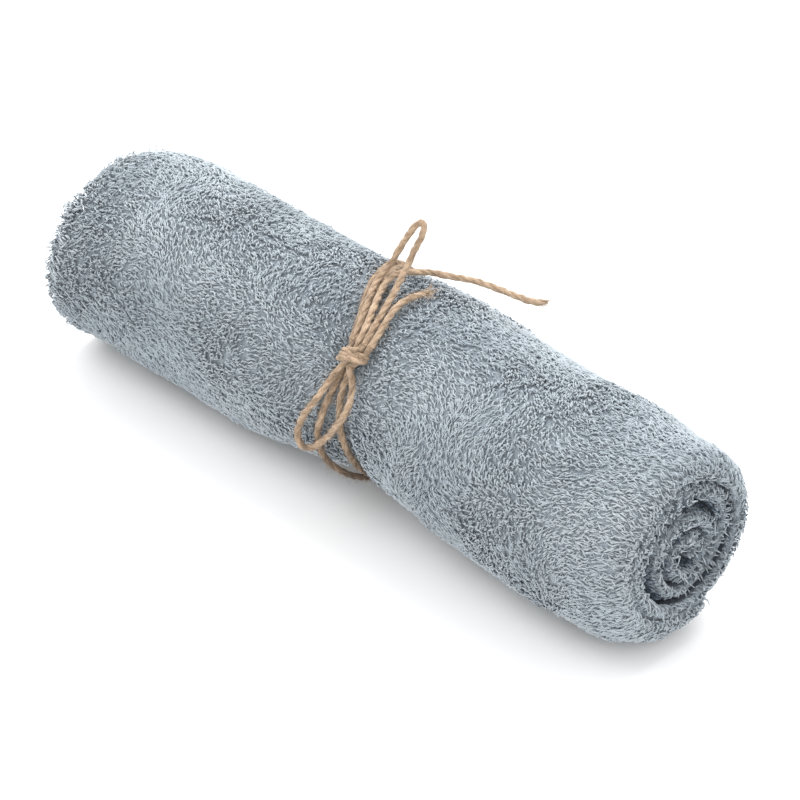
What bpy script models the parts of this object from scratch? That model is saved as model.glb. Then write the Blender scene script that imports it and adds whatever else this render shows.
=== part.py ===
# Bath towel folded in four, rolled up and tied round its middle with a bow of jute twine.
# Metres, +Z up. The roll lies along X on the plane z = 0, with the folded edges at +X and the
# four loose layers at -X. Angles round the roll run from +Y towards +Z.
import math

import bmesh
import bpy
from mathutils import Vector

# Towel and roll
TOWEL_WIDTH = 0.70            # folded once across, which gives the length of the roll
TURN_PITCH = 0.0106           # four layers of terry, one turn of the roll
ROLL_RADIUS = 0.0483          # mean radius of the outer turn, tips of the pile
CORE_RADIUS = 0.0030          # where the first turn starts
EDGE_STEP = 0.0075            # height of the outer edge, pressed thinner than a turn
EDGE_ANGLE = math.radians(292)  # the outer edge is tucked under the roll, towards the back
REST_HEIGHT = 0.0496          # centre of the roll above the surface, just less than its radius
POINTS_PER_TURN = 44
COLUMNS = 4                   # faces across one turn on the roll's ends, and across its outer edge

# Rounded ends: how far the skin curves in, along the roll and across it
NEAR_ROUND = (0.016, 0.0130)
FAR_ROUND = (0.024, 0.0110)
ROUND_STEPS = (0.90, 0.72, 0.48, 0.22)
NEAR_GROOVE = 0.0075          # depth of the spiral groove between turns, folded end
FAR_GROOVE = 0.0040           # the same at the end with the loose layers
NEAR_HOLLOW = 0.0060          # the middle of each end lies a little deeper
FAR_HOLLOW = 0.0040

# Twine
TWINE = 0.0030                # diameter
CLEAR = 0.0010                # air between the towel and the twine on it
TIE_DEPTH_SHARP = 0.0042      # how deep the twine cuts in, and half the width of that groove
TIE_WIDTH_SHARP = 0.0075
TIE_WIDTH_BROAD = 0.038       # half the width of the waist on both sides of it
ROUTE_SPACING = 0.0072        # between points of the twine
FINE_STEPS = 12

# Stations along the roll, measured from the tie, with the radius added to the mean one, the
# sideways place of the centre line and its height above REST_HEIGHT.
SECTIONS = (
    # station, extra_radius, centre_y, centre_z
    (-0.175, -0.0020, -0.0067, -0.0045),
    (-0.158, -0.0010, -0.0006, 0.0000),
    (-0.140, 0.0002, 0.0012, 0.0010),
    (-0.100, 0.0002, 0.0008, 0.0006),
    (-0.060, -0.0004, 0.0006, 0.0004),
    (-0.025, -0.0014, 0.0022, 0.0022),
    (0.000, -0.0016, 0.0032, 0.0034),
    (0.025, -0.0004, 0.0034, 0.0034),
    (0.060, 0.0012, 0.0026, 0.0018),
    (0.100, 0.0012, 0.0014, 0.0004),
    (0.130, 0.0012, 0.0016, 0.0006),
    (0.155, 0.0002, 0.0004, 0.0002),
    (0.175, -0.0002, 0.0022, 0.0026),
)

# The twine's line round the roll: where it crosses each angle, and how deep the waist is there.
TIE_LINE = (
    # angle_deg, x, waist_depth
    (15, -0.0200, 0.0008),
    (45, -0.0208, 0.0005),
    (84, -0.0120, 0.0010),
    (106, -0.0032, 0.0014),
    (128, 0.0044, 0.0018),
    (150, 0.0068, 0.0024),
    (180, 0.0066, 0.0032),
    (205, 0.0098, 0.0036),
    (235, 0.0112, 0.0036),
    (258, 0.0085, 0.0036),
    (280, 0.0030, 0.0034),
    (305, -0.0044, 0.0028),
    (330, -0.0118, 0.0018),
    (352, -0.0170, 0.0012),
)

# The twine's routes, as rows of angle round the roll in degrees, x in millimetres, and height
# of its underside above the towel in millimetres. It goes round the roll twice, and its two
# loops and two ends come out of one knot.
WRAP_A = (
    # angle_deg, x_mm, lift_mm
    (145.6, 5.2, 0), (153.4, 4.7, 0), (164, 3.2, 0), (171, 1.8, 0), (180, 0.6, 0.3),
    (189, -0.6, 1.0), (196, 0.0, 2.0), (203, 1.2, 3.0), (210, 3.6, 4.0), (219, 5.8, 4.0),
    (231, 7.0, 3.2), (244, 6.4, 2.2), (257, 4.6, 1.4), (270, 2.6, 1.0), (280, 0.4, 1.0),
    (290, -2.4, 0.7), (299, -5.2, 5.0), (309, -8.2, 2.6), (320, -11.2, 0.8), (335, -15.2, 0),
    (352, -19.2, 0), (375, -22.4, 0), (400, -23.4, 0), (420, -21.6, 0), (444, -14.4, 0),
    (455, -10.4, 0), (466, -5.6, 0), (477, -1.0, 0), (486, 1.6, 0), (490, 2.6, 0),
)
WRAP_B = (
    # angle_deg, x_mm, lift_mm
    (145.6, 9.2, 0), (153.6, 8.8, 0), (160, 8.8, 0), (166, 9.0, 0), (171, 9.8, 0),
    (177, 10.6, 0), (185, 11.4, 0), (195, 12.4, 0), (208, 13.4, 0), (220, 13.6, 0),
    (232, 13.0, 0), (245, 11.8, 0), (258, 9.8, 0), (270, 7.2, 0.2), (280, 4.6, 0.6),
    (290, 1.7, 0.7), (299, -1.1, 5.0), (309, -4.1, 2.6), (320, -7.1, 0.8), (335, -11.1, 0),
    (352, -15.1, 0), (375, -18.3, 0), (400, -19.3, 0), (420, -17.5, 0), (444, -10.4, 0),
    (455, -6.4, 0), (466, -1.6, 0), (477, 3.0, 0), (486, 5.6, 0), (490, 6.7, 0),
)
BOW_LOOP_UPPER = (
    # angle_deg, x_mm, lift_mm
    (130.6, 6.0, 3.5), (124, 4.4, 3.4), (118, 2.4, 3.4), (107.2, -1.8, 3.4), (96.2, -6.6, 3.4),
    (89.2, -8.6, 4.0), (86.1, -8.0, 5.6), (84.2, -6.4, 8.5), (79.4, -5.4, 16.0),
    (77.4, -3.2, 22.0), (76.6, -1.4, 25.4), (76.3, 1.3, 25.8), (77.2, 2.8, 22.5),
    (77.6, 2.0, 18.0), (79.8, 1.2, 12.0), (83.8, 2.3, 7.0), (88.1, 3.5, 4.6), (91.3, 4.5, 3.4),
    (96.5, 6.6, 2.2), (105, 8.9, 1.4), (113.2, 10.8, 1.2), (120, 12.0, 1.6), (126.8, 13.3, 2.2),
    (130.6, 13.8, 2.8),
)
BOW_LOOP_LOWER = (
    # angle_deg, x_mm, lift_mm
    (144.6, 6.8, 3.8), (150, 4.9, 3.8), (156, 3.3, 3.6), (164.3, 1.0, 3.4), (172.2, -2.3, 3.0),
    (178.2, -5.4, 2.4), (184.6, -7.6, 2.4), (190.2, -8.8, 3.4), (194.4, -7.7, 4.8),
    (195.9, -4.9, 5.8), (195.4, -1.2, 6.4), (193.5, 2.1, 6.6), (190, 4.9, 6.2),
    (183.5, 9.2, 5.0), (176, 13.6, 4.2), (170.5, 16.8, 3.4), (165.2, 18.9, 2.6),
    (158.1, 19.4, 2.0), (150.5, 17.6, 2.0), (146.4, 14.9, 2.8), (144.2, 12.6, 3.4),
)
END_LONG = (
    # angle_deg, x_mm, lift_mm
    (130.6, 9.9, 3.6), (124, 9.0, 3.5), (116.9, 7.0, 3.2), (106.1, 2.6, 2.6), (95.7, -2.4, 1.6),
    (86.4, -5.3, 0.9), (79.7, -6.0, 0.6), (76.3, -3.7, 0.6), (72.7, 1.0, 1.2), (69.6, 5.6, 2.3),
    (68.0, 12.6, 3.6), (66.0, 19.4, 5.0), (64.0, 25.4, 6.3), (62.8, 33.0, 7.2),
    (61.4, 40.4, 7.9), (60.6, 47.5, 8.7), (60.2, 54.6, 9.8), (59.2, 58.6, 11.2),
    (57.2, 60.6, 12.8),
)
END_SHORT = (
    # angle_deg, x_mm, lift_mm
    (130, 17.2, 1.6), (124, 16.4, 0.8), (119, 15.6, 0.4), (113, 14.6, 0.3), (106.8, 13.5, 0.3),
    (100, 13.2, 0.3), (94.2, 14.3, 0.3), (89.5, 15.8, 0.4), (85.2, 17.7, 0.7),
)
KNOT_PLACE = (137.3, 9.6, 6.5)          # angle_deg, x_mm and lift_mm of its middle
KNOT_SIZE = (0.0156, 0.0096, 0.0082)    # along the roll, round it, and out from it

STATIONS = (-0.140, -0.125, -0.110, -0.095, -0.080, -0.066, -0.052, -0.040, -0.030, -0.021,
            -0.014, -0.009, -0.005, -0.0017, 0.0017, 0.005, 0.009, 0.014, 0.021, 0.030, 0.040,
            0.052, 0.066, 0.080, 0.095, 0.110, 0.125, 0.142)

ROLL_LENGTH = TOWEL_WIDTH / 2
HALF = ROLL_LENGTH / 2
FULL_TURN = 2 * math.pi
LAST_START = ROLL_RADIUS - EDGE_STEP / 2
TURNS = (LAST_START - CORE_RADIUS) / TURN_PITCH + 1
TOTAL_ANGLE = TURNS * FULL_TURN


def smooth(value):
    value = min(max(value, 0.0), 1.0)
    return value * value * (3 - 2 * value)


def spline(table, key, wrap=None):
    """Smooth curve through the rows of a table, read at key; wrap is the period of the key."""
    rows = list(table)
    if wrap:
        rows = [(r[0] - wrap, *r[1:]) for r in rows] + rows + [(r[0] + wrap, *r[1:]) for r in rows]
        key = key % wrap
    if key <= rows[0][0]:
        return list(rows[0][1:])
    if key >= rows[-1][0]:
        return list(rows[-1][1:])
    low = max(i for i, row in enumerate(rows[:-1]) if row[0] <= key)
    before, left = rows[max(low - 1, 0)], rows[low]
    right, after = rows[low + 1], rows[min(low + 2, len(rows) - 1)]
    span = right[0] - left[0]
    t = (key - left[0]) / span
    values = []
    for column in range(1, len(left)):
        slope_left = (right[column] - before[column]) / (right[0] - before[0]) * span
        slope_right = (after[column] - left[column]) / (after[0] - left[0]) * span
        values.append((2 * t**3 - 3 * t**2 + 1) * left[column] + (t**3 - 2 * t**2 + t) * slope_left
                      + (-2 * t**3 + 3 * t**2) * right[column] + (t**3 - t**2) * slope_right)
    return values


def winding_radius(turned):
    """Radius of the cloth's outer face after it has turned by this angle from the core."""
    last = TOTAL_ANGLE - FULL_TURN
    if turned <= last:
        return CORE_RADIUS + TURN_PITCH * turned / FULL_TURN
    return LAST_START + EDGE_STEP * (turned - last) / FULL_TURN


def winding_angle(turned):
    return EDGE_ANGLE - (TOTAL_ANGLE - turned)


def skin_radius(angle):
    """Radius of the outer turn."""
    return winding_radius(TOTAL_ANGLE - (EDGE_ANGLE - angle) % FULL_TURN)


def tie_line(angle):
    return spline(TIE_LINE, math.degrees(angle), wrap=360)


def end_inset(station):
    """How much the rounded ends take off the radius."""
    length, depth = NEAR_ROUND if station > 0 else FAR_ROUND
    t = (abs(station) - (HALF - length)) / length
    return depth * (1 - math.sqrt(1 - min(t, 1.0) ** 2)) if t > 0 else 0.0


def roll_point(station, angle, radius):
    """Point of the roll at a station, at the radius it would have in an even, round roll."""
    extra, centre_y, centre_z = spline(SECTIONS, station)
    tie_x, waist = tie_line(angle)
    x = station + tie_x * (1 - smooth(abs(station) / (HALF - 0.03)))
    cut = waist * math.exp(-(station / TIE_WIDTH_BROAD) ** 2)
    cut += TIE_DEPTH_SHARP * math.exp(-(station / TIE_WIDTH_SHARP) ** 2)
    scale = (ROLL_RADIUS + extra - cut - end_inset(station)) / ROLL_RADIUS
    flat = (REST_HEIGHT + centre_z) * radius / skin_radius(angle)
    reach = radius * scale
    rise = max(reach * math.sin(angle), -flat)
    return Vector((x, centre_y + reach * math.cos(angle), REST_HEIGHT + centre_z + rise))


def above_skin(angle_deg, x, lift):
    """Point at this height above the outer turn, straight out from the roll's centre line."""
    angle = math.radians(angle_deg)
    station = x
    for _ in range(6):
        station = x - tie_line(angle)[0] * (1 - smooth(abs(station) / (HALF - 0.03)))
    skin = roll_point(station, angle, skin_radius(angle))
    return skin + Vector((x - skin.x, math.cos(angle) * lift, math.sin(angle) * lift))


def outline(station):
    """Ring of points round the roll, with the outer edge's own points last."""
    last = TOTAL_ANGLE - FULL_TURN
    ring = []
    for i in range(POINTS_PER_TURN + 1):
        turned = last + FULL_TURN * i / POINTS_PER_TURN
        ring.append(roll_point(station, winding_angle(turned), winding_radius(turned)))
    for j in range(1, COLUMNS):
        radius = winding_radius(TOTAL_ANGLE) - EDGE_STEP * j / COLUMNS
        ring.append(roll_point(station, EDGE_ANGLE, radius))
    return ring


def end_x(station, across, share):
    """Place along X of a point on an end: across is 0 to 1 over one turn, share the radius."""
    side = 1 if station > 0 else -1
    groove, hollow = (NEAR_GROOVE, NEAR_HOLLOW) if side > 0 else (FAR_GROOVE, FAR_HOLLOW)
    crest = 1 - abs(2 * across - 1) ** 2.2
    return side * (HALF - groove * (1 - crest) - hollow * (1 - smooth(share * 1.3)))


def end_cap(mesh, ring, station):
    """The wound end: a strip of faces that follows the spiral from the core to the outer edge."""
    steps = int(TURNS * POINTS_PER_TURN)
    start = TOTAL_ANGLE - FULL_TURN * steps / POINTS_PER_TURN

    def cap_point(turned, across):
        inner = winding_radius(turned - FULL_TURN) if turned > FULL_TURN else 0.0
        radius = inner + (winding_radius(turned) - inner) * across
        point = roll_point(station, winding_angle(turned), radius)
        point.x = end_x(station, across, radius / ROLL_RADIUS)
        return mesh.verts.new(point)

    hub = mesh.verts.new(roll_point(station, 0.0, 0.0))
    hub.co.x = end_x(station, 0.2, 0.0)
    rows = []                 # one row across the turn at each step, inner side first
    for i in range(steps):
        turned = start + FULL_TURN * i / POINTS_PER_TURN
        inner = rows[i - POINTS_PER_TURN][-1] if i >= POINTS_PER_TURN else hub
        on_skin = i - (steps - POINTS_PER_TURN)
        outer = ring[on_skin] if on_skin >= 0 else cap_point(turned, 1.0)
        middle = [cap_point(turned, j / COLUMNS) for j in range(1, COLUMNS)]
        rows.append([inner, *middle, outer])
    rows.append([ring[0], *reversed(ring[POINTS_PER_TURN + 1:]), ring[POINTS_PER_TURN]])
    for row, following in zip(rows, rows[1:]):
        for j in range(COLUMNS):
            corners = [row[j], row[j + 1], following[j + 1], following[j]]
            mesh.faces.new(dict.fromkeys(corners))
    mesh.faces.new(rows[0])   # the cloth's first edge, standing up in the core


def smooth_route(rows):
    """Points of the twine's centre line, evenly spaced on a curve through the route's rows."""
    knots = [above_skin(angle, x / 1000, lift / 1000 + TWINE / 2 + CLEAR) for angle, x, lift in rows]
    ends = [2 * knots[0] - knots[1], *knots, 2 * knots[-1] - knots[-2]]
    fine = []
    for a, b, c, d in zip(ends, ends[1:], ends[2:], ends[3:]):
        for i in range(FINE_STEPS):
            t = i / FINE_STEPS
            fine.append(0.5 * (2 * b + (c - a) * t + (2 * a - 5 * b + 4 * c - d) * t**2
                               + (3 * b - a - 3 * c + d) * t**3))
    fine.append(knots[-1])
    lengths = [0.0]
    for a, b in zip(fine, fine[1:]):
        lengths.append(lengths[-1] + (b - a).length)
    count = math.ceil(lengths[-1] / ROUTE_SPACING)
    points, at = [], 0
    for i in range(count + 1):
        wanted = lengths[-1] * i / count
        while at < len(fine) - 2 and lengths[at + 1] < wanted:
            at += 1
        share = (wanted - lengths[at]) / (lengths[at + 1] - lengths[at])
        points.append(fine[at].lerp(fine[at + 1], share))
    return points


def twine(name, rows):
    points = smooth_route(rows)
    data = bpy.data.curves.new(name, "CURVE")
    data.dimensions = "3D"
    data.bevel_depth = TWINE / 2
    data.bevel_resolution = 2
    data.use_fill_caps = True
    line = data.splines.new("POLY")
    line.points.add(len(points) - 1)
    for target, point in zip(line.points, points):
        target.co = (*point, 1.0)
    data.materials.append(JUTE)
    new = bpy.data.objects.new(name, data)
    bpy.context.collection.objects.link(new)


def twine_knot():
    """The tight knot: a squat ball just clear of the towel."""
    angle_deg, x, lift = KNOT_PLACE
    angle = math.radians(angle_deg)
    along, out = Vector((1, 0, 0)), Vector((0, math.cos(angle), math.sin(angle)))
    middle = above_skin(angle_deg, x / 1000, lift / 1000)
    mesh = bmesh.new()
    bmesh.ops.create_uvsphere(mesh, u_segments=16, v_segments=9, radius=0.5)
    for vert in mesh.verts:
        across, round_roll, outward = (c * size for c, size in zip(vert.co, KNOT_SIZE))
        vert.co = middle + along * across + out.cross(along) * round_roll + out * outward
    return add_object("twine_knot", mesh, JUTE)


def towel_roll():
    mesh = bmesh.new()
    near_end = HALF - NEAR_ROUND[0]
    far_end = HALF - FAR_ROUND[0]
    stations = [-far_end - FAR_ROUND[0] * step for step in ROUND_STEPS]
    stations += [*STATIONS]
    stations += [near_end + NEAR_ROUND[0] * step for step in reversed(ROUND_STEPS)]
    rings = [[mesh.verts.new(point) for point in outline(station)] for station in stations]
    for ring, following in zip(rings, rings[1:]):
        for i in range(len(ring)):
            j = (i + 1) % len(ring)
            mesh.faces.new([ring[i], ring[j], following[j], following[i]])
    end_cap(mesh, rings[0], stations[0])
    end_cap(mesh, rings[-1], stations[-1])
    bmesh.ops.recalc_face_normals(mesh, faces=mesh.faces)
    return add_object("towel_roll", mesh, TERRY)


def material(name, colour, roughness):
    new = bpy.data.materials.new(name)
    new.use_nodes = True
    shader = new.node_tree.nodes["Principled BSDF"]
    shader.inputs["Base Color"].default_value = (*colour, 1.0)
    shader.inputs["Roughness"].default_value = roughness
    shader.inputs["Metallic"].default_value = 0.0
    return new


def add_object(name, mesh, finish):
    data = bpy.data.meshes.new(name)
    mesh.to_mesh(data)
    mesh.free()
    data.materials.append(finish)
    data.shade_smooth()
    data.set_sharp_from_angle(angle=math.radians(50))
    new = bpy.data.objects.new(name, data)
    bpy.context.collection.objects.link(new)
    return new


for old in list(bpy.data.objects):
    bpy.data.objects.remove(old, do_unlink=True)

TERRY = material("blue_grey_terry", (0.31, 0.35, 0.39), 0.95)
JUTE = material("natural_jute", (0.41, 0.31, 0.23), 0.9)

towel_roll()
twine_knot()
twine("twine_wrap_a", WRAP_A)
twine("twine_wrap_b", WRAP_B)
twine("twine_bow_loop_upper", BOW_LOOP_UPPER)
twine("twine_bow_loop_lower", BOW_LOOP_LOWER)
twine("twine_end_long", END_LONG)
twine("twine_end_short", END_SHORT)
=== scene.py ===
# Rolled bath towel of looped terry, tied round its middle with a bow of jute twine.
import math

import bpy
import numpy as np
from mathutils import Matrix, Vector, noise
from mathutils.bvhtree import BVHTree
from mathutils.kdtree import KDTree


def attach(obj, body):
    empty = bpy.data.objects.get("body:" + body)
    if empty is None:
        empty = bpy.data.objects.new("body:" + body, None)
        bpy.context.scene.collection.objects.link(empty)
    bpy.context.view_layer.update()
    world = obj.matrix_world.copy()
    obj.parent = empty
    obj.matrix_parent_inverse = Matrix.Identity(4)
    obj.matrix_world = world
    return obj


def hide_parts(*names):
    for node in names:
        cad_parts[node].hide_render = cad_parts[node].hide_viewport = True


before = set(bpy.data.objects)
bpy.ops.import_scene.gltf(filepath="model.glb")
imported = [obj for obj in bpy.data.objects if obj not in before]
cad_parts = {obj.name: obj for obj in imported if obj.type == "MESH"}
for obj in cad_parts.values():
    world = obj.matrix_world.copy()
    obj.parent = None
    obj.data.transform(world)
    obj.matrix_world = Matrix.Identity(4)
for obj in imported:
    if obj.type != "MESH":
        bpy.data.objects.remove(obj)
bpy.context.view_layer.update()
rng = np.random.default_rng(41)
fullTurn = 2 * math.pi


def pickNone():
    bpy.ops.object.select_all(action="DESELECT")


# camera, light and floor
view = {
    "target": (0.0072, 0.0, 0.0438),
    "azimuth": 44.6,     # degrees, from the front towards +X
    "elevation": 36.0,
    "distance": 2.2,
    "lens": 224.2,
    "floor": (0.90, 0.90, 0.90),
    "keyLight": 8.5,
    "topLight": 30.0,
    "fillLight": 6.5,
    "sideLight": 4.5,
    "skyLight": 1.16,
}


def addCamera():
    turn, rise = math.radians(view["azimuth"]), math.radians(view["elevation"])
    away = Vector((math.sin(turn) * math.cos(rise), -math.cos(turn) * math.cos(rise), math.sin(rise)))
    data = bpy.data.cameras.new("camera")
    data.lens = view["lens"]
    data.sensor_width = 36.0
    camera = bpy.data.objects.new("camera", data)
    bpy.context.collection.objects.link(camera)
    camera.location = Vector(view["target"]) + away * view["distance"]
    camera.rotation_euler = (-away).to_track_quat("-Z", "Y").to_euler()
    bpy.context.scene.camera = camera
    return away


def addLight(name, place, size, power):
    data = bpy.data.lights.new(name, "AREA")
    data.shape = "DISK"
    data.size = size
    data.energy = power
    lamp = bpy.data.objects.new(name, data)
    bpy.context.collection.objects.link(lamp)
    lamp.location = place
    lamp.rotation_euler = (Vector((0, 0, 0.04)) - Vector(place)).to_track_quat("-Z", "Y").to_euler()


def addFloor():
    pickNone()
    bpy.ops.mesh.primitive_circle_add(vertices=96, radius=7.0, fill_type="NGON", location=(0, 0, -0.0004))
    floor = bpy.context.object
    floor.name = "floor"
    paper = bpy.data.materials.new("white_paper")
    paper.use_nodes = True
    shader = paper.node_tree.nodes["Principled BSDF"]
    shader.inputs["Base Color"].default_value = (*view["floor"], 1)
    shader.inputs["Roughness"].default_value = 0.9
    floor.data.materials.append(paper)


towardsCamera = addCamera()
addFloor()
addLight("key", (-0.75, -0.85, 1.55), 1.1, view["keyLight"])
addLight("overhead", (-0.25, 0.95, 1.6), 1.4, view["topLight"])
addLight("fill", (1.25, -0.7, 0.9), 1.3, view["fillLight"])
addLight("side", (-1.4, 0.35, 0.8), 1.2, view["sideLight"])
world = bpy.data.worlds.new("studio")
world.use_nodes = True
world.node_tree.nodes["Background"].inputs["Color"].default_value = (1, 1, 1, 1)
world.node_tree.nodes["Background"].inputs["Strength"].default_value = view["skyLight"]
bpy.context.scene.world = world
bpy.context.scene.view_settings.view_transform = "Standard"
print("camera, light and floor are up")

# the shape of the roll, as in the frame
roll = {
    "half": 0.175,
    "radius": 0.0483,
    "pitch": 0.0106,          # four layers of terry
    "core": 0.0030,
    "edgeStep": 0.0075,
    "edgeAngle": math.radians(292),
    "rest": 0.0496,
    "nearRound": (0.016, 0.0130),
    "farRound": (0.024, 0.0110),
    "cutDeep": 0.0042,
    "cutSharp": 0.0075,
    "cutBroad": 0.038,
}
# stations along the roll, measured from the tie
sections = (
    # station, radius, y, z
    (-0.175, -0.0020, -0.0067, -0.0045),
    (-0.158, -0.0010, -0.0006, 0.0000),
    (-0.140, 0.0002, 0.0012, 0.0010),
    (-0.100, 0.0002, 0.0008, 0.0006),
    (-0.060, -0.0004, 0.0006, 0.0004),
    (-0.025, -0.0014, 0.0022, 0.0022),
    (0.000, -0.0016, 0.0032, 0.0034),
    (0.025, -0.0004, 0.0034, 0.0034),
    (0.060, 0.0012, 0.0026, 0.0018),
    (0.100, 0.0012, 0.0014, 0.0004),
    (0.130, 0.0012, 0.0016, 0.0006),
    (0.155, 0.0002, 0.0004, 0.0002),
    (0.175, -0.0002, 0.0022, 0.0026),
)

# the twine's line round the roll and how far it draws the waist in
tieLine = (
    # angle, x, waist
    (15, -0.0200, 0.0008),
    (45, -0.0208, 0.0005),
    (84, -0.0120, 0.0010),
    (106, -0.0032, 0.0014),
    (128, 0.0044, 0.0018),
    (150, 0.0068, 0.0024),
    (180, 0.0066, 0.0032),
    (205, 0.0098, 0.0036),
    (235, 0.0112, 0.0036),
    (258, 0.0085, 0.0036),
    (280, 0.0030, 0.0034),
    (305, -0.0044, 0.0028),
    (330, -0.0118, 0.0018),
    (352, -0.0170, 0.0012),
)
half = roll["half"]
lastStart = roll["radius"] - roll["edgeStep"] / 2
totalAngle = ((lastStart - roll["core"]) / roll["pitch"] + 1) * fullTurn


def smooth(value):
    value = min(max(value, 0.0), 1.0)
    return value * value * (3 - 2 * value)


def spline(table, key, wrap=None):
    rows = list(table)
    if wrap:
        rows = [(r[0] - wrap, *r[1:]) for r in rows] + rows + [(r[0] + wrap, *r[1:]) for r in rows]
        key = key % wrap
    if key <= rows[0][0]:
        return list(rows[0][1:])
    if key >= rows[-1][0]:
        return list(rows[-1][1:])
    low = max(i for i, row in enumerate(rows[:-1]) if row[0] <= key)
    before, left = rows[max(low - 1, 0)], rows[low]
    right, after = rows[low + 1], rows[min(low + 2, len(rows) - 1)]
    span = right[0] - left[0]
    t = (key - left[0]) / span
    values = []
    for column in range(1, len(left)):
        slopeLeft = (right[column] - before[column]) / (right[0] - before[0]) * span
        slopeRight = (after[column] - left[column]) / (after[0] - left[0]) * span
        values.append((2 * t**3 - 3 * t**2 + 1) * left[column] + (t**3 - 2 * t**2 + t) * slopeLeft
                      + (-2 * t**3 + 3 * t**2) * right[column] + (t**3 - t**2) * slopeRight)
    return values


def windingRadius(turned):
    last = totalAngle - fullTurn
    if turned <= last:
        return roll["core"] + roll["pitch"] * turned / fullTurn
    return lastStart + roll["edgeStep"] * (turned - last) / fullTurn


def skinRadius(angle):
    return windingRadius(totalAngle - (roll["edgeAngle"] - angle) % fullTurn)


def tieAt(angle, known={}):
    key = round(math.degrees(angle) % 360, 3)
    if key not in known:
        known[key] = spline(tieLine, key, wrap=360)
    return known[key]


def sectionAt(station, known={}):
    key = round(station, 6)
    if key not in known:
        known[key] = spline(sections, key)
    return known[key]


def endInset(station):
    length, depth = roll["nearRound"] if station > 0 else roll["farRound"]
    t = (abs(station) - (half - length)) / length
    return depth * (1 - math.sqrt(1 - min(t, 1.0) ** 2)) if t > 0 else 0.0


def rollPoint(station, angle, radius):
    extra, y, z = sectionAt(station)
    tieX, waist = tieAt(angle)
    x = station + tieX * (1 - smooth(abs(station) / (half - 0.03)))
    cut = waist * math.exp(-(station / roll["cutBroad"]) ** 2)
    cut += roll["cutDeep"] * math.exp(-(station / roll["cutSharp"]) ** 2)
    scale = (roll["radius"] + extra - cut - endInset(station)) / roll["radius"]
    flat = (roll["rest"] + z) * radius / skinRadius(angle)
    reach = radius * scale
    rise = max(reach * math.sin(angle), -flat)
    return Vector((x, y + reach * math.cos(angle), roll["rest"] + z + rise))


def aboveSkin(angleDeg, x, lift):
    angle = math.radians(angleDeg)
    station = x
    for _ in range(6):
        station = x - tieAt(angle)[0] * (1 - smooth(abs(station) / (half - 0.03)))
    skin = rollPoint(station, angle, skinRadius(angle))
    return skin + Vector((x - skin.x, math.cos(angle) * lift, math.sin(angle) * lift))


# twine: three plies laid up into a cord
twine = {
    "diameter": 0.0030,
    "clear": 0.0010,
    "plyRadius": 0.00095,
    "plyOffset": 0.00066,
    "plyTurn": 0.0155,      # length of one full turn of the lay
    "step": 0.0011,
    "hairs": 4700,
    "hairRadius": 0.000042,
    "frayedHairs": 60,      # at each loose end
    "streakStretch": (46, 40, 1),
    "streaks": 3.2,
    "patches": 240,
    "roughness": 0.85,
    "sheen": 0.15,
    "colours": (
        # how pale, colour
        (0.30, (0.120, 0.078, 0.048)),
        (0.56, (0.435, 0.305, 0.200)),
        (0.86, (0.73, 0.562, 0.405)),
    ),
}
# routes: angle round the roll, x in mm, height of the underside above the towel in mm
wrapA = (
    # angle, x mm, lift mm
    (145.6, 5.2, 0), (153.4, 4.7, 0), (164, 3.2, 0), (171, 1.8, 0), (180, 0.6, 0.3),
    (189, -0.6, 1.0), (196, 0.0, 2.0), (203, 1.2, 3.0), (210, 3.6, 4.0), (219, 5.8, 4.0),
    (231, 7.0, 3.2), (244, 6.4, 2.2), (257, 4.6, 1.4), (270, 2.6, 1.0), (280, 0.4, 1.0),
    (290, -2.4, 0.7), (299, -5.2, 5.0), (309, -8.2, 2.6), (320, -11.2, 0.8), (335, -15.2, 0),
    (352, -19.2, 0), (375, -22.4, 0), (400, -23.4, 0), (420, -21.6, 0), (444, -14.4, 0),
    (455, -10.4, 0), (466, -5.6, 0), (477, -1.0, 0), (486, 1.6, 0), (490, 2.6, 0),
)
wrapB = (
    (145.6, 9.2, 0), (153.6, 8.8, 0), (160, 8.8, 0), (166, 9.0, 0), (171, 9.8, 0),
    (177, 10.6, 0), (185, 11.4, 0), (195, 12.4, 0), (208, 13.4, 0), (220, 13.6, 0),
    (232, 13.0, 0), (245, 11.8, 0), (258, 9.8, 0), (270, 7.2, 0.2), (280, 4.6, 0.6),
    (290, 1.7, 0.7), (299, -1.1, 5.0), (309, -4.1, 2.6), (320, -7.1, 0.8), (335, -11.1, 0),
    (352, -15.1, 0), (375, -18.3, 0), (400, -19.3, 0), (420, -17.5, 0), (444, -10.4, 0),
    (455, -6.4, 0), (466, -1.6, 0), (477, 3.0, 0), (486, 5.6, 0), (490, 6.7, 0),
)
bowUpper = (
    (130.6, 6.0, 3.5), (124, 4.4, 3.4), (118, 2.4, 3.4), (107.2, -1.8, 3.4), (96.2, -6.6, 3.4),
    (89.2, -8.6, 4.0), (86.1, -8.0, 5.6), (84.2, -6.4, 8.5), (79.4, -5.4, 16.0),
    (77.4, -3.2, 22.0), (76.6, -1.4, 25.4), (76.3, 1.3, 25.8), (77.2, 2.8, 22.5),
    (77.6, 2.0, 18.0), (79.8, 1.2, 12.0), (83.8, 2.3, 7.0), (88.1, 3.5, 4.6), (91.3, 4.5, 3.4),
    (96.5, 6.6, 2.2), (105, 8.9, 1.4), (113.2, 10.8, 1.2), (120, 12.0, 1.6), (126.8, 13.3, 2.2),
    (130.6, 13.8, 2.8),
)
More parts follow.
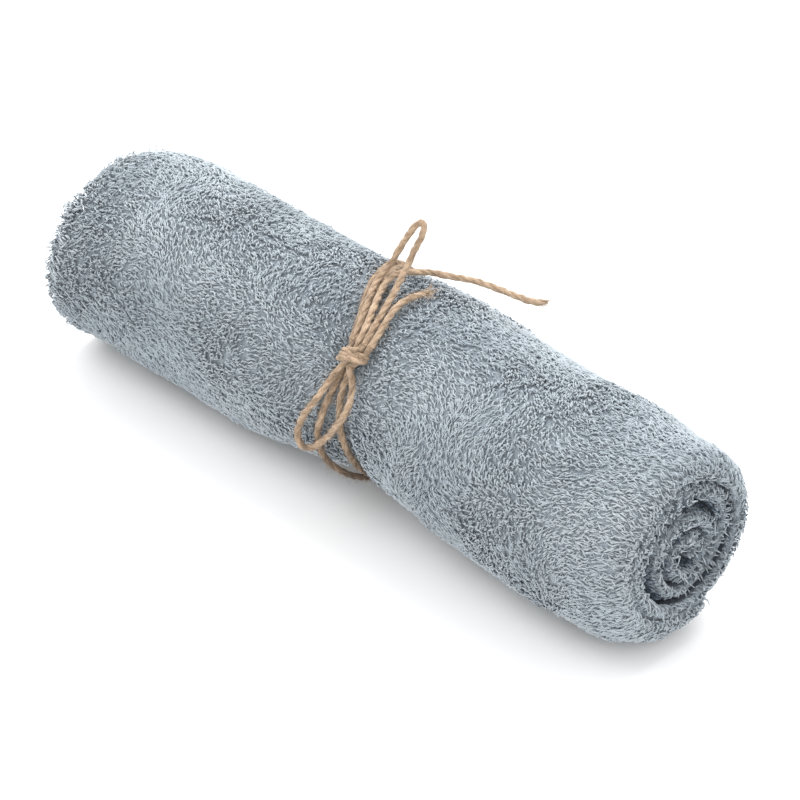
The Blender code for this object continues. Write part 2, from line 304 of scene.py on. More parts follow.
bowLower = (
    (144.6, 6.8, 3.8), (150, 4.9, 3.8), (156, 3.3, 3.6), (164.3, 1.0, 3.4), (172.2, -2.3, 3.0),
    (178.2, -5.4, 2.4), (184.6, -7.6, 2.4), (190.2, -8.8, 3.4), (194.4, -7.7, 4.8),
    (195.9, -4.9, 5.8), (195.4, -1.2, 6.4), (193.5, 2.1, 6.6), (190, 4.9, 6.2),
    (183.5, 9.2, 5.0), (176, 13.6, 4.2), (170.5, 16.8, 3.4), (165.2, 18.9, 2.6),
    (158.1, 19.4, 2.0), (150.5, 17.6, 2.0), (146.4, 14.9, 2.8), (144.2, 12.6, 3.4),
)
endLong = (
    (130.6, 9.9, 3.6), (124, 9.0, 3.5), (116.9, 7.0, 3.2), (106.1, 2.6, 2.6), (95.7, -2.4, 1.6),
    (86.4, -5.3, 0.9), (79.7, -6.0, 0.6), (76.3, -3.7, 0.6), (72.7, 1.0, 1.2), (69.6, 5.6, 2.3),
    (68.0, 12.6, 3.6), (66.0, 19.4, 5.0), (64.0, 25.4, 6.3), (62.8, 33.0, 7.2),
    (61.4, 40.4, 7.9), (60.6, 47.5, 8.7), (60.2, 54.6, 9.8), (59.2, 58.6, 11.2),
    (57.2, 60.6, 12.8),
)
endShort = (
    (130, 17.2, 1.6), (124, 16.4, 0.8), (119, 15.6, 0.4), (113, 14.6, 0.3), (106.8, 13.5, 0.3),
    (100, 13.2, 0.3), (94.2, 14.3, 0.3), (89.5, 15.8, 0.4), (85.2, 17.7, 0.7),
)


def alongCurve(knots, step):
    ends = [2 * knots[0] - knots[1], *knots, 2 * knots[-1] - knots[-2]]
    fine = []
    for a, b, c, d in zip(ends, ends[1:], ends[2:], ends[3:]):
        for i in range(12):
            t = i / 12
            fine.append(0.5 * (2 * b + (c - a) * t + (2 * a - 5 * b + 4 * c - d) * t**2
                               + (3 * b - a - 3 * c + d) * t**3))
    fine.append(knots[-1])
    fine = np.array([p[:] for p in fine])
    run = np.concatenate([[0], np.cumsum(np.linalg.norm(np.diff(fine, axis=0), axis=1))])
    count = max(int(run[-1] / step), 4)
    at = np.linspace(0, run[-1], count + 1)
    line = np.stack([np.interp(at, run, fine[:, k]) for k in range(3)], axis=1)
    for _ in range(3):
        line[1:-1] = (line[:-2] + 2 * line[1:-1] + line[2:]) / 4
    return line


def routeLine(rows, step):
    knots = [aboveSkin(a, x / 1000, lift / 1000 + twine["diameter"] / 2 + twine["clear"]) for a, x, lift in rows]
    return alongCurve(knots, step)


def sideFrames(line):
    ahead = np.gradient(line, axis=0)
    ahead /= np.linalg.norm(ahead, axis=1)[:, None] + 1e-12
    side = np.cross(ahead[0], (0.31, 0.22, 0.93))
    side /= np.linalg.norm(side)
    sides = [side]
    for t in ahead[1:]:
        side = side - t * np.dot(side, t)
        side = side / (np.linalg.norm(side) + 1e-12)
        sides.append(side)
    sides = np.array(sides)
    return ahead, sides, np.cross(ahead, sides)


class Strands:
    # gathers many tubes, closed at both ends, into one mesh
    def __init__(self):
        self.verts, self.faces, self.uvs, self.tones, self.count = [], [], [], [], 0

    def add(self, line, radii, sides, tone, uvBox=(0, 0, 1, 1)):
        n = len(line)
        _, a, b = sideFrames(line)
        turn = np.arange(sides) * fullTurn / sides
        outward = np.cos(turn)[None, :, None] * a[:, None, :] + np.sin(turn)[None, :, None] * b[:, None, :]
        ring = line[:, None, :] + radii[:, None, None] * outward
        self.verts.append(ring.reshape(-1, 3))
        i, j = np.meshgrid(np.arange(n - 1), np.arange(sides), indexing="ij")
        k = (j + 1) % sides
        quads = np.stack([i * sides + j, i * sides + k, (i + 1) * sides + k, (i + 1) * sides + j], axis=-1)
        quads = quads.reshape(-1, 4) + self.count
        u0, v0, u1, v1 = uvBox
        uu = u0 + (u1 - u0) * np.array([i, i, i + 1, i + 1]) / (n - 1)
        vv = v0 + (v1 - v0) * np.array([j, j + 1, j + 1, j]) / sides
        self.faces.extend(quads.tolist())
        self.uvs.append(np.stack([uu, vv], axis=-1).transpose(1, 2, 0, 3).reshape(-1, 2))
        for ringAt, order in ((0, -1), (n - 1, 1)):
            self.faces.append([int(self.count + ringAt * sides + m) for m in range(sides)][::order])
            spot = np.array([[u0 if ringAt == 0 else u1, v0]])
            self.uvs.append(np.repeat(spot, sides, axis=0) + rng.random((sides, 2)) * 1e-4)
        self.tones.append(np.repeat(np.broadcast_to(tone, n), sides))
        self.count += n * sides

    def mesh(self, name, finish):
        data = bpy.data.meshes.new(name)
        verts = np.concatenate(self.verts)
        data.from_pydata(verts.tolist(), [], self.faces)
        data.update()
        layer = data.uv_layers.new(name="OFBake")
        layer.data.foreach_set("uv", np.concatenate(self.uvs).astype(np.float32).ravel())
        tone = data.attributes.new("tone", "FLOAT", "POINT")
        tone.data.foreach_set("value", np.concatenate(self.tones).astype(np.float32))
        data.shade_smooth()
        data.materials.append(finish)
        piece = bpy.data.objects.new(name, data)
        bpy.context.collection.objects.link(piece)
        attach(piece, "root")
        return piece


def layPlies(store, line, start, taper=(0.0, 0.0), phase=0.0, uvRow=(0.0, 1.0), pale=0.0):
    run = np.concatenate([[0], np.cumsum(np.linalg.norm(np.diff(line, axis=0), axis=1))])
    _, a, b = sideFrames(line)
    wander = np.array([noise.noise(Vector((r * 140, start, 0.3))) for r in run])
    swell = np.array([noise.noise(Vector((r * 260, start, 5.1))) for r in run])
    for ply in range(3):
        turn = phase + fullTurn * run / twine["plyTurn"] + fullTurn * ply / 3 + wander * 0.7
        own = np.array([noise.noise(Vector((r * 330, start + 9 * ply, 2.7))) for r in run])
        offset = twine["plyOffset"] * (1 + 0.14 * own)
        centre = line + offset[:, None] * (np.cos(turn)[:, None] * a + np.sin(turn)[:, None] * b)
        radii = twine["plyRadius"] * (1 + 0.13 * swell + 0.12 * own)
        for at, length in zip((0, 1), taper):
            if length:
                near = run if at == 0 else run[-1] - run
                radii = radii * np.clip(0.35 + 0.65 * near / length, 0, 1)
        low = uvRow[0] + (uvRow[1] - uvRow[0]) * ply / 3
        # painted shade: the twine gets darker the lower it runs, under the roll and towards the floor
        tone = pale + rng.uniform(0.30, 0.62) - 0.62 * np.clip((0.046 - line[:, 2]) / 0.026, 0, 1)
        store.add(centre, radii, 7, tone, (0.002, low + 0.004, 0.998, low + (uvRow[1] - uvRow[0]) / 3 - 0.004))


def addMath(nodes, operation, factor=None, offset=None):
    node = nodes.new("ShaderNodeMath")
    node.operation = operation
    if factor is not None:
        node.inputs[1].default_value = factor
    if offset is not None:
        node.inputs[2].default_value = offset
    return node


def addNoise(nodes, scale, detail, distortion=0.0):
    node = nodes.new("ShaderNodeTexNoise")
    node.inputs["Scale"].default_value = scale
    node.inputs["Detail"].default_value = detail
    node.inputs["Distortion"].default_value = distortion
    return node


def addRamp(nodes, steps):
    ramp = nodes.new("ShaderNodeValToRGB")
    elements = ramp.color_ramp.elements
    for element, (position, colour) in ((elements[0], steps[0]), (elements[1], steps[-1])):
        element.position, element.color = position, (*colour, 1)
    for position, colour in steps[1:-1]:
        elements.new(position).color = (*colour, 1)
    return ramp


def addBump(nodes, links, shader, height, strength, distance):
    bump = nodes.new("ShaderNodeBump")
    bump.inputs["Strength"].default_value = strength
    bump.inputs["Distance"].default_value = distance
    links.new(height.outputs["Fac"], bump.inputs["Height"])
    links.new(bump.outputs["Normal"], shader.inputs["Normal"])


def juteFinish():
    # fine streaks along the fibres, soft patches, and the tone that each ply was given, which holds painted shade
    # where the twine runs low
    material = bpy.data.materials.new("natural_jute_twine")
    material.use_nodes = True
    nodes, links = material.node_tree.nodes, material.node_tree.links
    shader = nodes["Principled BSDF"]
    where = nodes.new("ShaderNodeUVMap")
    where.uv_map = "OFBake"
    stretch = nodes.new("ShaderNodeMapping")
    stretch.inputs["Scale"].default_value = twine["streakStretch"]
    place = nodes.new("ShaderNodeTexCoord")
    tone = nodes.new("ShaderNodeAttribute")
    tone.attribute_name = "tone"
    fibres = addNoise(nodes, twine["streaks"], 5)
    patches = addNoise(nodes, twine["patches"], 3)
    streaks = addMath(nodes, "MULTIPLY_ADD", 0.95, -0.62)
    softPatches = addMath(nodes, "MULTIPLY_ADD", 0.5, 0.25)
    toned = addMath(nodes, "MULTIPLY_ADD", 0.36)
    total = addMath(nodes, "ADD")
    ramp = addRamp(nodes, twine["colours"])
    links.new(where.outputs["UV"], stretch.inputs["Vector"])
    links.new(stretch.outputs["Vector"], fibres.inputs["Vector"])
    links.new(place.outputs["Object"], patches.inputs["Vector"])
    links.new(patches.outputs["Fac"], softPatches.inputs[0])
    links.new(tone.outputs["Fac"], toned.inputs[0])
    links.new(softPatches.outputs["Value"], toned.inputs[2])
    links.new(fibres.outputs["Fac"], streaks.inputs[0])
    links.new(toned.outputs["Value"], total.inputs[0])
    links.new(streaks.outputs["Value"], total.inputs[1])
    links.new(total.outputs["Value"], ramp.inputs["Fac"])
    links.new(ramp.outputs["Color"], shader.inputs["Base Color"])
    addBump(nodes, links, shader, fibres, 1.0, 0.0003)
    shader.inputs["Roughness"].default_value = twine["roughness"]
    shader.inputs["Sheen Weight"].default_value = twine["sheen"]
    return material


jute = juteFinish()
cordRoutes = {
    # rows, thinning at the two ends, how pale
    "twine_wrap_a": (wrapA, (0, 0), -0.06),
    "twine_wrap_b": (wrapB, (0, 0), -0.04),
    "twine_bow_loop_upper": (bowUpper, (0, 0), -0.02),
    "twine_bow_loop_lower": (bowLower, (0, 0), -0.02),
    "twine_end_long": (endLong, (0, 0.004), 0.16),
    "twine_end_short": (endShort, (0, 0.004), 0.04),
}
lines = {}
cords = {}
for number, (name, (route, taper, pale)) in enumerate(cordRoutes.items()):
    line = routeLine(route, twine["step"])
    store = Strands()
    layPlies(store, line, 3.7 * number, taper, phase=number * 1.1, pale=pale)
    piece = store.mesh(name + "_rope", jute)
    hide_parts(name)
    lines[name] = line
    cords[name] = piece
    print(name, "is", round(float(np.linalg.norm(np.diff(line, axis=0), axis=1).sum()), 4), "m long")

# the knot: strands that pass through it and a band wound twice round them
knot = {
    "place": (137.3, 9.6, 6.5),
    "bandHalfWidth": 0.0064,
    "pulledOver": 0.0018,     # the knot was drawn tight to this side
    "bandHeight": 0.0033,
    "bandPitch": 0.0030,
    "slant": 0.26,
}
angle = math.radians(knot["place"][0])
knotOut = Vector((0, math.cos(angle), math.sin(angle)))
knotAlong = Vector((1, 0, 0))
knotRound = knotOut.cross(knotAlong)      # towards smaller angles, up over the roll
knotMiddle = aboveSkin(knot["place"][0], knot["place"][1] / 1000, knot["place"][2] / 1000)
knotMiddle += knotAlong * knot["pulledOver"]


def knotPoint(along, upward, out):
    return knotMiddle + knotAlong * along + knotRound * upward + knotOut * out


def nearKnot(name, atEnd=False):
    line = lines[name]
    point, inner = (line[-1], line[-4]) if atEnd else (line[0], line[3])
    return Vector(point), Vector(point) * 2 - Vector(inner)


knotStore = Strands()
passes = (
    # from, its end, to, its end, sideways place and height where it passes
    ("twine_bow_loop_upper", False, "twine_wrap_a", False, -0.0036, 0.0002),
    ("twine_end_long", False, "twine_bow_loop_lower", False, -0.0008, 0.0010),
    ("twine_bow_loop_upper", True, "twine_wrap_b", False, 0.0016, -0.0002),
    ("twine_end_short", False, "twine_bow_loop_lower", True, 0.0042, 0.0002),
)
for number, (first, firstEnd, second, secondEnd, sideways, out) in enumerate(passes):
    a, aIn = nearKnot(first, firstEnd)
    b, bIn = nearKnot(second, secondEnd)
    path = alongCurve([a, a.lerp(aIn, 0.45), knotPoint(sideways, 0.0, out), b.lerp(bIn, 0.45), b], twine["step"])
    layPlies(knotStore, path, 40 + number, phase=number, uvRow=(number / 6, (number + 1) / 6), pale=-0.14)
band = []
for i in range(45):
    turn = -0.35 * math.pi + i / 44 * 4.5 * math.pi
    upward = knot["bandPitch"] * (i / 44 - 0.5) * 1.55
    wide = knot["bandHalfWidth"] * (1 - 0.10 * (i / 44))
    band.append(knotPoint(wide * math.sin(turn), upward + knot["slant"] * wide * math.sin(turn),
                          0.0004 + knot["bandHeight"] * math.cos(turn)))
layPlies(knotStore, alongCurve(band, twine["step"]), 61, phase=2.0, uvRow=(4 / 6, 1.0), pale=-0.16)
knotPiece = knotStore.mesh("twine_knot_rope", jute)
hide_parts("twine_knot")
print("twine is laid")

# fuzz on the twine and the frayed ends
fuzz = Strands()
allLines = list(lines.values())
weights = np.array([len(l) for l in allLines], float)
frames = [sideFrames(l) for l in allLines]
uvSide = int(math.ceil(math.sqrt(twine["hairs"] + 200)))      # every hair has a cell of the map


def addHair(start, heading, length, droop, number, radius):
    bend = rng.normal(size=3) * 0.5
    t = np.linspace(0, 1, 4)[:, None]
    line = np.array(start) + length * (np.array(heading) * t + bend * t**2 * 0.55 + np.array((0, 0, -droop)) * t**2)
    line[:, 2] = np.maximum(line[:, 2], 0.0006)
    row, column = divmod(number, uvSide)
    box = (column / uvSide, row / uvSide, (column + 0.8) / uvSide, (row + 0.8) / uvSide)
    fuzz.add(line, radius * np.array([1.0, 1.0, 0.8, 0.35]), 3, rng.uniform(0.35, 1.0), box)


for number in range(twine["hairs"]):
    which = rng.choice(len(allLines), p=weights / weights.sum())
    line, (ahead, a, b) = allLines[which], frames[which]
    at = int(rng.integers(1, len(line) - 1))
    turn = rng.uniform(0, fullTurn)
    out = np.cos(turn) * a[at] + np.sin(turn) * b[at]
    heading = out * rng.uniform(0.25, 1.0) + ahead[at] * rng.choice((-1, 1)) * rng.uniform(0.5, 1.3)
    heading /= np.linalg.norm(heading)
    root = line[at] + out * twine["diameter"] * 0.46
    addHair(root, heading, rng.uniform(0.0012, 0.0040), 0.1, number, twine["hairRadius"])
number = twine["hairs"]
for name, spread, long in (("twine_end_long", 0.45, 0.0060), ("twine_end_short", 0.40, 0.0075)):
    line = lines[name]
    tip, ahead = line[-2], line[-1] - line[-5]
    ahead /= np.linalg.norm(ahead)
    for i in range(twine["frayedHairs"]):
        heading = ahead + rng.normal(size=3) * spread
        heading /= np.linalg.norm(heading)
        addHair(tip - ahead * rng.uniform(0, 0.004) + rng.normal(size=3) * 0.0005, heading,
                long * rng.uniform(0.4, 1.0), 0.15, number, twine["hairRadius"] * rng.uniform(1.2, 3.0))
        number += 1
fuzzPiece = fuzz.mesh("twine_fuzz", jute)
print("fuzz has", len(fuzz.faces), "faces")

# the towel itself: one cloth, folded across, folded lengthwise and wound up
cloth = {
    "flat": (0.70, 1.40),
    "layer": 0.00245,        # spacing of the four layers
    "thick": 0.0017,         # ground weave
    "pileDepth": 0.0024,     # from the tips of the pile to the ground weave
    "coreTurns": 0.95,       # turns left open in the middle
    "outerTurns": 1.06,      # turns with the closer rows
    "rowsInner": 32,         # rows in one turn
    "rowsOuter": 76,
    "edgeShort": 0.05,       # where the outer edge starts to fold under, and its round
    "edgeRound": 0.018,
    "nearFrom": 0.12,        # from here the folds of the near end are shaped
    "nearHollow": 0.0020,
    "nearSunk": 0.0045,      # how deep the inner turns lie at the near end
    "nearCrease": 0.0150,    # and the crease round them
    "sunkTurns": 1.45,       # how many turns from the outer edge they start
    "foldBase": 0.1585,      # where the folds start and how blunt they are
    "foldBlunt": 0.45,
    "pulledTurns": 1.55,     # turns that are drawn together inside those
    "pulled": 0.16,
    "coreShift": (0.0100, -0.0115),   # the core sits low and to the back there
    "coreDrawn": 0.0028,
    "farFrom": -0.155,       # from here the far end is loose
    "farHollow": 0.0040,
    "farLoose": {(0, 0): 0.0, (1, 0): 0.0022, (1, 1): 0.0040, (0, 1): 0.0012},   # for each of the four layers
}
# soft lumps and troughs: angle, x, half width round the roll in degrees, half length, height
lumps = (
    (118, -0.118, 26, 0.022, 0.0016),
    (92, -0.082, 22, 0.018, -0.0013),
    (150, -0.092, 24, 0.026, 0.0012),
    (74, -0.048, 24, 0.016, 0.0015),
    (128, -0.040, 20, 0.014, -0.0008),
    (168, -0.052, 18, 0.020, 0.0010),
    (60, 0.030, 22, 0.018, 0.0014),
    (104, 0.046, 26, 0.020, 0.0013),
    (140, 0.060, 22, 0.024, -0.0010),
    (172, 0.050, 20, 0.022, 0.0012),
    (84, 0.092, 24, 0.022, -0.0012),
    (120, 0.112, 22, 0.020, 0.0012),
    (160, 0.122, 20, 0.020, 0.0014),
    (196, 0.088, 22, 0.026, -0.0008),
    (30, -0.100, 26, 0.030, 0.0012),
    (10, 0.070, 26, 0.030, 0.0012),
    (320, 0.020, 30, 0.040, 0.0008),
    (250, -0.060, 30, 0.040, 0.0006),
)


def lumpAt(angle, x):
    degrees = math.degrees(angle) % 360
    total = 0.0
    for where, along, wide, long, high in lumps:
        off = (degrees - where + 180) % 360 - 180
        if abs(off) < 3 * wide and abs(x - along) < 3 * long:
            total += 0.7 * high * math.exp(-(off / wide) ** 2 - ((x - along) / long) ** 2)
    spot = Vector((x * 26, math.cos(angle) * 1.9, math.sin(angle) * 1.9))
    return total + 0.0006 * noise.noise(spot) + 0.0004 * noise.noise(spot * 3.1)


def clothColumns():
    # one side of the fold from the far end to the near end, round the nose, and back
    far = [-0.1735, -0.1722, -0.1700, -0.1672, -0.1640, -0.1600, -0.1550, -0.1480]
    middle = list(np.arange(-0.140, 0.141, 0.0080))
    near = [0.1435, 0.1455, 0.1463]
    stations = far + middle + near
    columns = [("run", x, 0) for x in stations]
    columns += [("nose", k / 12, 0) for k in range(0, 13)]
    back = near[::-1] + list(np.linspace(0.140, -0.140, 12)) + far[::-1]
    columns += [("run", x, 1) for x in back]
    return columns


def clothRows():
    # winding angle with the layer, from the core out, round the edge fold and back in
    start = fullTurn * cloth["coreTurns"]
    last = totalAngle - fullTurn * cloth["outerTurns"]
    edge = totalAngle - cloth["edgeShort"]
    inner = np.linspace(start, last, int((last - start) / fullTurn * cloth["rowsInner"]), endpoint=False)
    outer = np.linspace(last, edge, int(cloth["rowsOuter"] * cloth["outerTurns"]))
    out = list(inner) + list(outer)
    rows = [(t, 0.0) for t in out]
    rows += [(edge + cloth["edgeRound"] * math.sin(k / 5 * math.pi), k / 5) for k in range(1, 5)]
    rows += [(t, 1.0) for t in out[::-1]]
    return rows


def deeperThan(turns, turned):
    # 0 outside that many turns from the outer edge, 1 from half a turn further in
    return smooth((totalAngle - turns * fullTurn - turned) / (0.50 * fullTurn))


def alongRun(turned, second, where, back, share, wobble):
    # the flat layers: squeezed or stretched at the near end, a little uneven at the far end
    if where > cloth["nearFrom"]:
        sunk = deeperThan(cloth["sunkTurns"], turned)
        return cloth["nearFrom"] + (where - cloth["nearFrom"]) * (1 - 0.35 * sunk + 0.45 * (1 - sunk))
    if where < cloth["farFrom"]:
        loose = cloth["farLoose"][(round(second), back)]
        edge = loose + cloth["farHollow"] * (1 - smooth(share * 1.3)) + 0.0016 * (wobble + 0.5)
        return where + edge * smooth((cloth["farFrom"] - where) / 0.0185)
    return where


def roundNose(turned, second, where, angle, share, wobble):
    # the folds that show at the near end
    outermost = smooth((turned - (totalAngle - fullTurn * 1.3)) / (fullTurn * 0.35))
    hollow = cloth["nearHollow"] * (1 - smooth(share * 1.25)) + 0.0013 * wobble
    tip = half - 0.0020 - hollow - 0.0030 * second - 0.0008 * (1 - outermost)
    base = cloth["foldBase"] + 0.0030 * where
    sunk = deeperThan(cloth["sunkTurns"], turned)
    sunk *= 1 - 0.25 * smooth((share - 0.15) / 0.3) * (0.5 + 0.5 * math.cos(angle - 0.6))
    tip -= cloth["nearSunk"] * sunk
    base -= cloth["nearCrease"] * sunk
    return base + (tip - base) * math.sin(where * math.pi) ** cloth["foldBlunt"]


def clothPoint(turned, second, column):
    kind, where, back = column
    # depth of this layer below the turn's outer face: 0.5 and 3.5 layers, or 1.5 and 2.5
    outside, inside = (0.5 + second) * cloth["layer"], (3.5 - second) * cloth["layer"]
    radiusHere = windingRadius(turned) - cloth["pileDepth"]
    angle = roll["edgeAngle"] - (totalAngle - turned)
    share = radiusHere / roll["radius"]
    wobble = noise.noise(Vector((turned * 0.9, second * 3 + 0.5, 0.2)))
    if kind == "run":
        depth = inside if back else outside
        x = alongRun(turned, second, where, back, share, wobble)
    else:
        depth = (outside + inside) / 2 - (inside - outside) / 2 * math.cos(where * math.pi)
        x = roundNose(turned, second, where, angle, share, wobble)
    station = min(x, half - 0.0016)
    pulled = deeperThan(cloth["pulledTurns"], turned) * smooth((x - 0.11) / 0.03)
    radius = max((radiusHere - depth) * (1 - cloth["pulled"] * pulled), 0.0010)
    lump = lumpAt(angle, x) * smooth((turned - (totalAngle - fullTurn * 2.2)) / fullTurn)
    if x > 0.13:
        lump *= 1 - smooth((x - 0.13) / 0.03) * 0.5
    point = rollPoint(station, angle, radius)
    point += Vector((0, math.cos(angle), math.sin(angle))) * lump
    shift = smooth((x - 0.095) / 0.065) * (1 - radius / (roll["radius"] - cloth["pileDepth"]))
    point.y += cloth["coreShift"][0] * shift + cloth["coreDrawn"] * pulled
    point.z += cloth["coreShift"][1] * shift - cloth["coreDrawn"] * pulled
    if kind == "run":
        point.x += x - station
    else:
        point.x = x
    point.z = max(point.z, cloth["pileDepth"] * 0.5 + depth * 0.8)
    return point


def windCloth():
    rows, columns = clothRows(), clothColumns()
    pickNone()
    bpy.ops.mesh.primitive_grid_add(x_subdivisions=len(columns) - 1, y_subdivisions=len(rows) - 1, size=1)
    piece = bpy.context.object
    piece.name = "terry_ground"
    grid = np.array([[clothPoint(t, s, c)[:] for c in columns] for t, s in rows])
    piece.data.vertices.foreach_set("co", grid.reshape(-1, 3).astype(np.float32).ravel())
    piece.data.update()
    return piece, grid, rows, columns


towel, grid, rows, columns = windCloth()
print("cloth is wound:", grid.shape, "points")


# the pile: loops of yarn that stand or lie as the cloth was stroked
pile = {
    "perSquareMetre": 560000,
    "length": 0.0046,
    "lengths": (0.70, 1.22),     # shortest and longest, as shares of it
    "width": 0.00041,
    "widths": (0.8, 1.25),
    "lean": 0.66,           # 0 stands up, 1 lies down
    "leastLean": 0.22,
    "clouds": 34,
    "weave": 760,           # of the ground, between the loops
    "roughness": 0.93,
    "sheen": 0.25,
    "sheenRoughness": 0.5,
    "awaySide": 0.58,       # share of the loops on the side that is turned away
    "pieces": 5,
    "colours": (
        # how pale, colour
        (0.0, (0.056, 0.080, 0.118)),      # painted shade down in the creases
        (0.17, (0.255, 0.298, 0.338)),
        (0.55, (0.362, 0.410, 0.446)),
        (0.88, (0.448, 0.496, 0.530)),
        (1.0, (0.620, 0.662, 0.690)),      # painted light: the frayed tufts pale as if lit from behind
    ),
    "paintedRootShade": (-0.20, 0.03, 0.09),      # painted shade: darkest at the root, lighter at the middle and tip of a loop
    "ridgeLightSideShade": (0.06, -0.10, -0.10),     # painted light on its top and painted shade on its two sides
    "tone": 0.23,
    "patchTone": 0.16,
    "speckle": 0.060,
    "leanTone": 0.14,
    # painted light on the frayed tufts
    "paintedFrayedBacklight": 0.28,
    # painted shade down in the creases of the near end
    "paintedCreaseShade": -0.60,
    # painted light on the loops where the roll turns away over the top
    "paintedTopLight": 0.20,
    "nearTwine": 0.0072,    # loops this close to the twine's middle are pushed aside
    "touching": 0.0019,     # and those that would still poke into it are left out
}


def terryFinish(name, woven):
    # the tone of each loop, with soft clouds over the whole towel; the ground shows its weave
    material = bpy.data.materials.new(name)
    material.use_nodes = True
    nodes, links = material.node_tree.nodes, material.node_tree.links
    shader = nodes["Principled BSDF"]
    tone = nodes.new("ShaderNodeAttribute")
    tone.attribute_name = "tone"
    place = nodes.new("ShaderNodeTexCoord")
    clouds = addNoise(nodes, pile["clouds"], 3)
    mixed = addMath(nodes, "MULTIPLY_ADD", 0.30)
    ramp = addRamp(nodes, pile["colours"])
    links.new(place.outputs["Object"], clouds.inputs["Vector"])
    links.new(clouds.outputs["Fac"], mixed.inputs[0])
    links.new(tone.outputs["Fac"], mixed.inputs[2])
    links.new(mixed.outputs["Value"], ramp.inputs["Fac"])
    links.new(ramp.outputs["Color"], shader.inputs["Base Color"])
    shader.inputs["Roughness"].default_value = pile["roughness"]
    shader.inputs["Sheen Weight"].default_value = pile["sheen"]
    shader.inputs["Sheen Roughness"].default_value = pile["sheenRoughness"]
    if woven:
        weave = addNoise(nodes, pile["weave"], 3, 1.5)
        fine = addMath(nodes, "MULTIPLY_ADD", 0.9, -0.48)
        both = addMath(nodes, "ADD")
        links.new(place.outputs["Object"], weave.inputs["Vector"])
        links.new(weave.outputs["Fac"], fine.inputs[0])
        links.new(fine.outputs["Value"], both.inputs[0])
        links.new(mixed.outputs["Value"], both.inputs[1])
        links.new(both.outputs["Value"], ramp.inputs["Fac"])
        addBump(nodes, links, shader, weave, 0.8, 0.0012)
    return material


towel.data.materials.append(terryFinish("terry_ground_weave", True))
pileFinish = terryFinish("terry_pile_loops", False)
towards = np.array(towardsCamera)


def creaseDepths():
    # 0 on the skin and on top of the folds, 1 down in the creases of the near end
    turned = np.array([t for t, _ in rows])[:, None]
    second = np.array([s for _, s in rows])[:, None]
    across = np.array([c[1] if c[0] == "nose" else float(c[2]) for c in columns])[None, :]
    below = grid[:, :, 0].max(axis=1)[:, None] - grid[:, :, 0]
    skin = (turned > totalAngle - fullTurn * 1.02) & (across < 0.5) & (second < 0.5)
    deep = np.clip((below - 0.0003) / 0.0038, 0, 1) * (grid[:, :, 0] > 0.12)
    return np.where(skin, 0.0, deep)


def turnsAway(out):
    # 1 where the skin turns away over the top of the roll
    return np.clip((0.40 - out @ towards) / 0.35, 0, 1) * (out[..., 2] > 0.2)


def onTop():
    out = grid - np.array([0, 0, roll["rest"]])
    out[..., 0] = 0
    out /= np.linalg.norm(out, axis=-1)[..., None] + 1e-9
    return turnsAway(out)


creases = creaseDepths()
tone = towel.data.attributes.new("tone", "FLOAT", "POINT")
# painted shade on the ground weave down in the creases of the near end, and painted light where it turns away over
# the top
tone.data.foreach_set("value", (0.16 - 0.34 * creases + 0.22 * onTop()).ravel().astype(np.float32))
for layer in list(towel.data.uv_layers):
    layer.name = "OFBake"
pickNone()
towel.select_set(True)
bpy.context.view_layer.objects.active = towel
solid = towel.modifiers.new("thickness", "SOLIDIFY")
solid.thickness = cloth["thick"]
solid.offset = 0
bpy.ops.object.modifier_apply(modifier=solid.name)
towel.data.shade_smooth()
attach(towel, "root")
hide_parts("towel_roll")

tree = BVHTree.FromPolygons([v.co for v in towel.data.vertices], [p.vertices[:] for p in towel.data.polygons])
twinePoints = np.concatenate(allLines + [np.array([p[:] for p in band])])
near = KDTree(len(twinePoints))
for i, p in enumerate(twinePoints):
    near.insert(p, i)
near.balance()


def evenly(values, i, j, u, v):
    # the value at a place inside a square of the grid
    return (values[i, j] * (1 - u) * (1 - v) + values[i + 1, j] * u * (1 - v)
            + values[i, j + 1] * (1 - u) * v + values[i + 1, j + 1] * u * v)


def squaresThatShow():
    turned = np.array([t for t, _ in rows])[:-1, None]
    second = np.array([s for _, s in rows])[:-1, None]
    front = np.array([c[0] == "nose" or c[2] == 0 for c in columns])[None, :-1]
    x = grid[:-1, :-1, 0]
    outer = (turned > totalAngle - fullTurn * 1.08) & (second < 0.5) & front
    outerEdge = (second > 0.0) & (second < 1.0)
    return outer | outerEdge | (x > 0.142) | (x < -0.166)


def scatter():
    # places on the cloth with free space before them, their normals and how deep they lie
    du = grid[1:, :-1] - grid[:-1, :-1]
    dv = grid[:-1, 1:] - grid[:-1, :-1]
    area = np.linalg.norm(np.cross(du, dv), axis=-1)
    iAll, jAll = np.nonzero(squaresThatShow())
    amount = area[iAll, jAll] * pile["perSquareMetre"]
    count = np.floor(amount + rng.random(len(amount))).astype(int)
    i, j = np.repeat(iAll, count), np.repeat(jAll, count)
    u, v = rng.random(len(i))[:, None], rng.random(len(i))[:, None]
    p = evenly(grid, i, j, u, v)
    facing = np.cross(np.gradient(grid, axis=0), np.gradient(grid, axis=1))
    facing /= np.linalg.norm(facing, axis=-1)[..., None] + 1e-12
    n = evenly(facing, i, j, u, v)
    n /= np.linalg.norm(n, axis=1)[:, None] + 1e-12
    dice = rng.random(len(p))
    print("trying", 2 * len(p), "places")
    found = []
    for side in (1, -1):
        m = n * side
        start = p + m * 0.0013
        for k in range(len(p)):
            if m[k] @ towards < -0.12 and dice[k] > pile["awaySide"]:
                continue
            room = 0.0040 if p[k][0] > 0.12 else 0.0052
            if tree.ray_cast(start[k], m[k], room)[0] is None:
                found.append((*(p[k] + m[k] * cloth["thick"] * 0.3), *m[k], creases[i[k], j[k]]))
    found = np.array(found)
    return found[:, :3], found[:, 3:6], found[:, 6]
